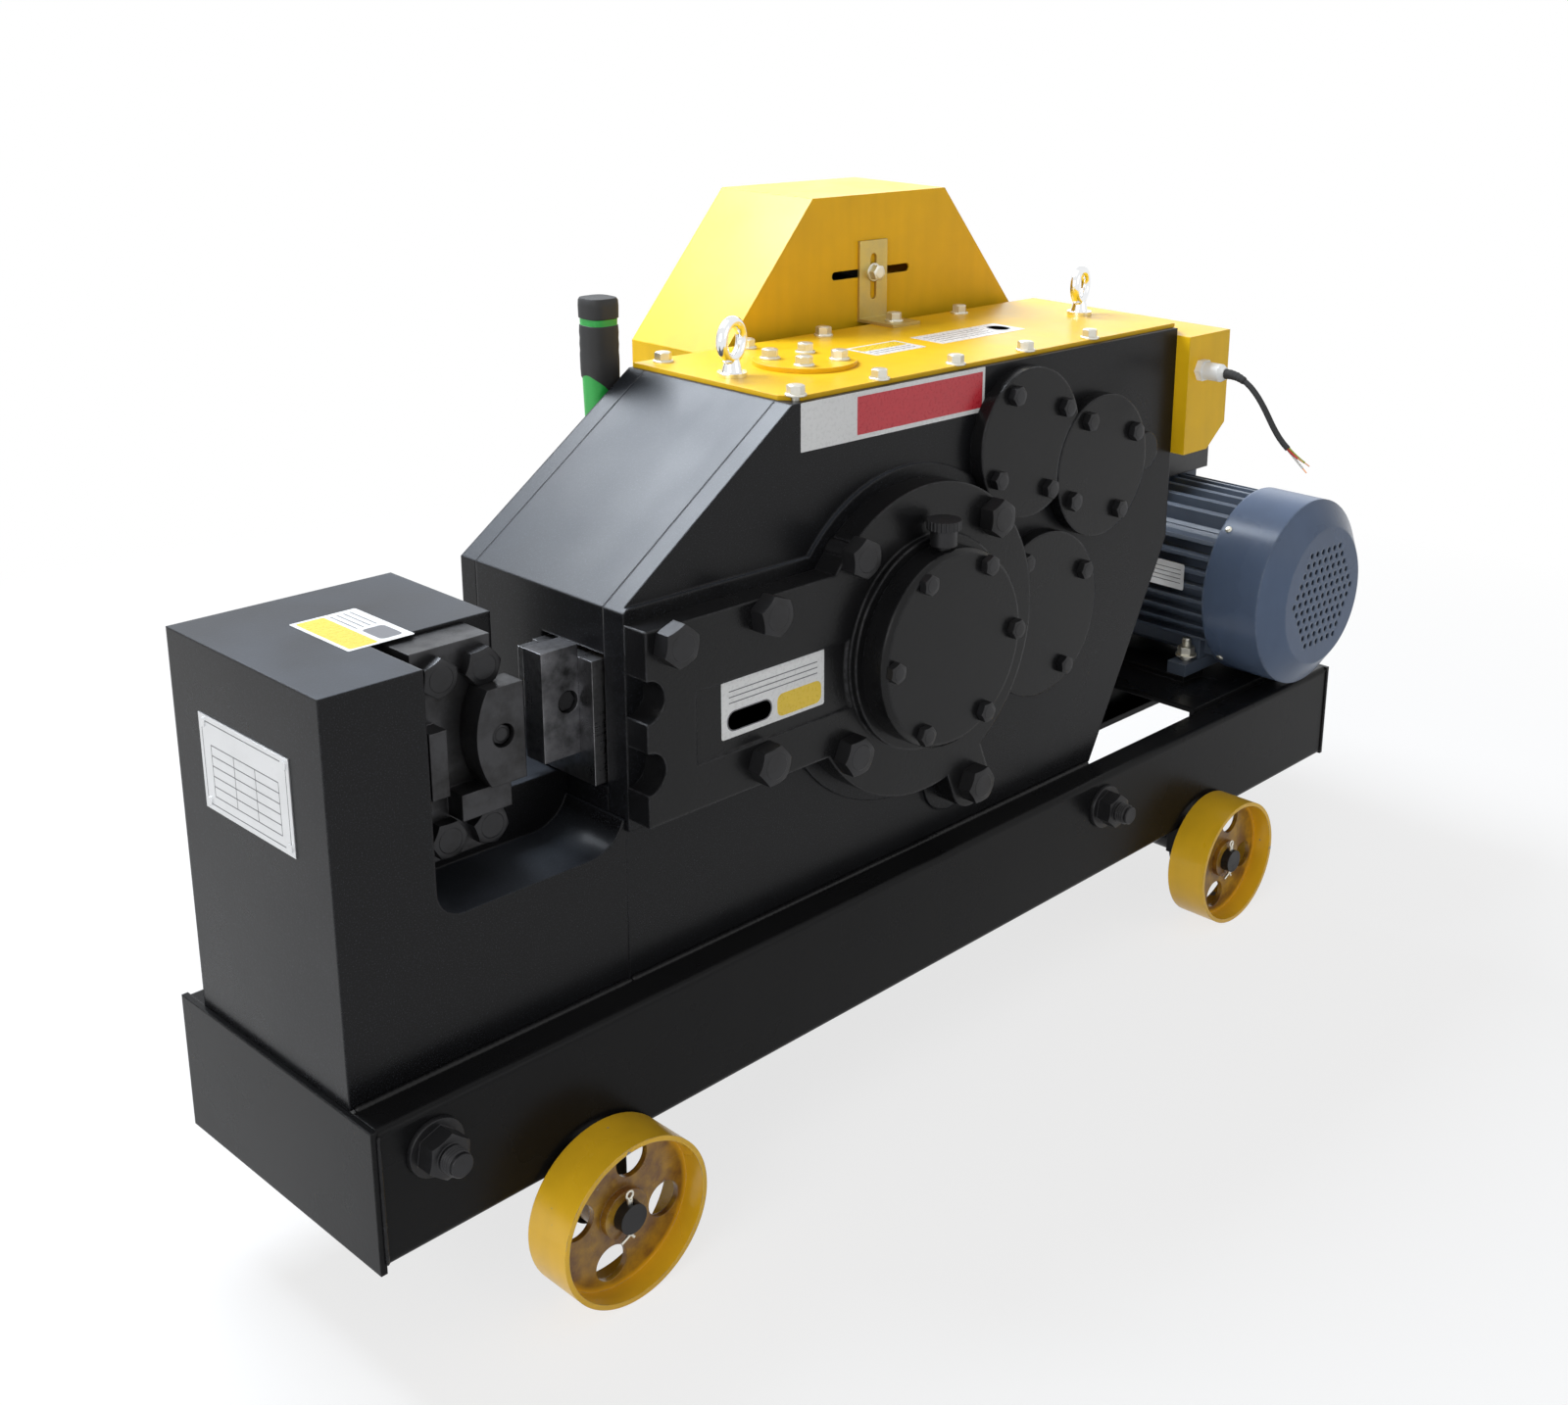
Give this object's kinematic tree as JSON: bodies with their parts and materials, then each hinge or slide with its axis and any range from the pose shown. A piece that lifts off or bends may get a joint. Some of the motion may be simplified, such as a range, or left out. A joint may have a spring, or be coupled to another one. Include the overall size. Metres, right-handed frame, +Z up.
{
  "type": "electric rebar cutting machine",
  "caption": "Electric reinforcing-bar cutter: a belt and gear driven crank pushes a ram and blade past a fixed blade, in a black steel body on a wheeled skid.",
  "frame": {"origin": "on the floor, under the middle of the machine's box without its power cable", "axes": "+X runs from the cutting post to the motor, the covers face -Y, +Z up"},
  "size_m": [1.2776, 0.4639, 0.768],
  "materials": {
    "black_paint": "semi-gloss",
    "yellow_paint": "gloss",
    "wheel_paint": "worn gloss",
    "motor_paint": "semi-gloss",
    "motor_cover": "semi-gloss",
    "black_steel": "black oxide",
    "blade_steel": "ground",
    "machined_steel": "machined",
    "gear_steel": "oiled",
    "cast_iron": "cast and turned",
    "bronze": "turned",
    "zinc": "zinc plated",
    "bracket_zinc": "yellow zinc plated",
    "chrome": "polished",
    "plate_silver": "satin",
    "belt_rubber": "matt",
    "grip_rubber": "matt",
    "green_plastic": "gloss",
    "red_plastic": "gloss",
    "white_plastic": "satin",
    "black_plastic": "satin",
    "cable_rubber": "matt"
  },
  "bodies": {
    "machine": {"base_channels": "black_paint", "base_plates": "black_paint", "axles": "black_steel", "axle_washers": "zinc", "tie_rods": "black_steel", "cutter_post": "black_paint", "front_wall": "black_paint", "rear_wall": "black_paint", "gearbox_shell": "black_paint", "name_plate": "plate_silver", "blade_holder": "blade_steel", "fixed_blade": "blade_steel", "blade_bolts": "black_steel", "ram_bed": "cast_iron", "ram_liners": "bronze", "bearings": "machined_steel", "v_belts": "belt_rubber", "side_cover": "black_paint", "bearing_covers": "black_paint", "cover_bolts": "black_steel", "grease_cup": "black_steel", "top_plate": "yellow_paint", "inspection_cover": "yellow_paint", "top_bolts": "zinc", "eye_bolts": "chrome", "belt_guard": "yellow_paint", "guard_bracket": "bracket_zinc", "switch_box": "yellow_paint", "cable_gland": "white_plastic", "power_cable": "cable_rubber", "motor_frame": "motor_paint", "motor_fins": "motor_paint", "motor_stator": "black_steel", "terminal_box": "black_paint", "motor_bolts": "zinc", "fan_cover": "motor_cover"},
    "wheel_front_left": {"wheel_front_left": "wheel_paint"},
    "wheel_front_right": {"wheel_front_right": "wheel_paint"},
    "wheel_rear_left": {"wheel_rear_left": "wheel_paint"},
    "wheel_rear_right": {"wheel_rear_right": "wheel_paint"},
    "crank": {"crankshaft": "machined_steel", "crank_gear": "gear_steel"},
    "shaft_3": {"pinion_shaft_3": "gear_steel", "gear_3": "gear_steel"},
    "shaft_2": {"pinion_shaft_2": "gear_steel", "gear_2": "gear_steel"},
    "shaft_1": {"pinion_shaft_1": "gear_steel", "flywheel": "cast_iron"},
    "rotor": {"motor_shaft": "machined_steel", "motor_fan": "black_plastic", "motor_pulley": "cast_iron"},
    "rod": {"con_rod": "machined_steel"},
    "ram": {"ram": "machined_steel", "moving_blade": "blade_steel", "ram_bolt": "black_steel"},
    "lever": {"clutch_lever": "black_steel", "lever_grip": "grip_rubber"},
    "grease_cap": {"grease_cap": "black_steel"},
    "start_button": {"start_button": "green_plastic"},
    "stop_button": {"stop_button": "red_plastic"}
  },
  "joints": [
    {"name": "wheel_front_left_spin", "type": "hinge", "parent": "machine", "child": "wheel_front_left", "pos_m": [-0.45575, -0.19, 0.067], "axis": [0, 1, 0], "continuous": true},
    {"name": "wheel_front_right_spin", "type": "hinge", "parent": "machine", "child": "wheel_front_right", "pos_m": [0.36025, -0.19, 0.067], "axis": [0, 1, 0], "continuous": true},
    {"name": "wheel_rear_left_spin", "type": "hinge", "parent": "machine", "child": "wheel_rear_left", "pos_m": [-0.45575, 0.122, 0.067], "axis": [0, 1, 0], "continuous": true},
    {"name": "wheel_rear_right_spin", "type": "hinge", "parent": "machine", "child": "wheel_rear_right", "pos_m": [0.36025, 0.122, 0.067], "axis": [0, 1, 0], "continuous": true},
    {"name": "crank_spin", "type": "hinge", "parent": "machine", "child": "crank", "pos_m": [-0.08675, -0.035, 0.421], "axis": [0, 1, 0], "continuous": true},
    {"name": "shaft_3_spin", "type": "hinge", "parent": "machine", "child": "shaft_3", "pos_m": [0.09171, -0.033, 0.39751], "axis": [0, 1, 0], "continuous": true},
    {"name": "shaft_2_spin", "type": "hinge", "parent": "machine", "child": "shaft_2", "pos_m": [0.17468, -0.056, 0.52724], "axis": [0, 1, 0], "continuous": true},
    {"name": "shaft_1_spin", "type": "hinge", "parent": "machine", "child": "shaft_1", "pos_m": [0.06481, 0.016, 0.56745], "axis": [0, 1, 0], "continuous": true},
    {"name": "rotor_spin", "type": "hinge", "parent": "machine", "child": "rotor", "pos_m": [0.53325, 0.036, 0.324], "axis": [0, 1, 0], "continuous": true},
    {"name": "rod_pivot", "type": "hinge", "parent": "crank", "child": "rod", "pos_m": [-0.06975, -0.072, 0.421], "axis": [0, 1, 0], "continuous": true},
    {"name": "ram_slide", "type": "slide", "parent": "machine", "child": "ram", "axis": [-1, 0, 0], "range_m": [0, 0.034]},
    {"name": "lever_pivot", "type": "hinge", "parent": "machine", "child": "lever", "pos_m": [-0.23375, 0.036, 0.534], "axis": [0, 1, 0], "range_deg": [-20, 25]},
    {"name": "grease_cap_turn", "type": "hinge", "parent": "machine", "child": "grease_cap", "pos_m": [-0.09075, -0.178, 0.534], "axis": [0, 0, 1], "range_deg": [0, 360]},
    {"name": "start_button_press", "type": "slide", "parent": "machine", "child": "start_button", "axis": [-1, 0, 0], "range_m": [0, 0.004], "stiffness_N_per_m": 400},
    {"name": "stop_button_press", "type": "slide", "parent": "machine", "child": "stop_button", "axis": [-1, 0, 0], "range_m": [0, 0.004], "stiffness_N_per_m": 400}
  ],
  "couplings": [
    {"joint": "shaft_3_spin", "follows": "crank_spin", "ratio": -3.8},
    {"joint": "shaft_2_spin", "follows": "crank_spin", "ratio": 10.83},
    {"joint": "shaft_1_spin", "follows": "crank_spin", "ratio": -21.66},
    {"joint": "rotor_spin", "follows": "crank_spin", "ratio": -46.629},
    {"joint": "rod_pivot", "follows": "crank_spin", "ratio": -1}
  ]
}
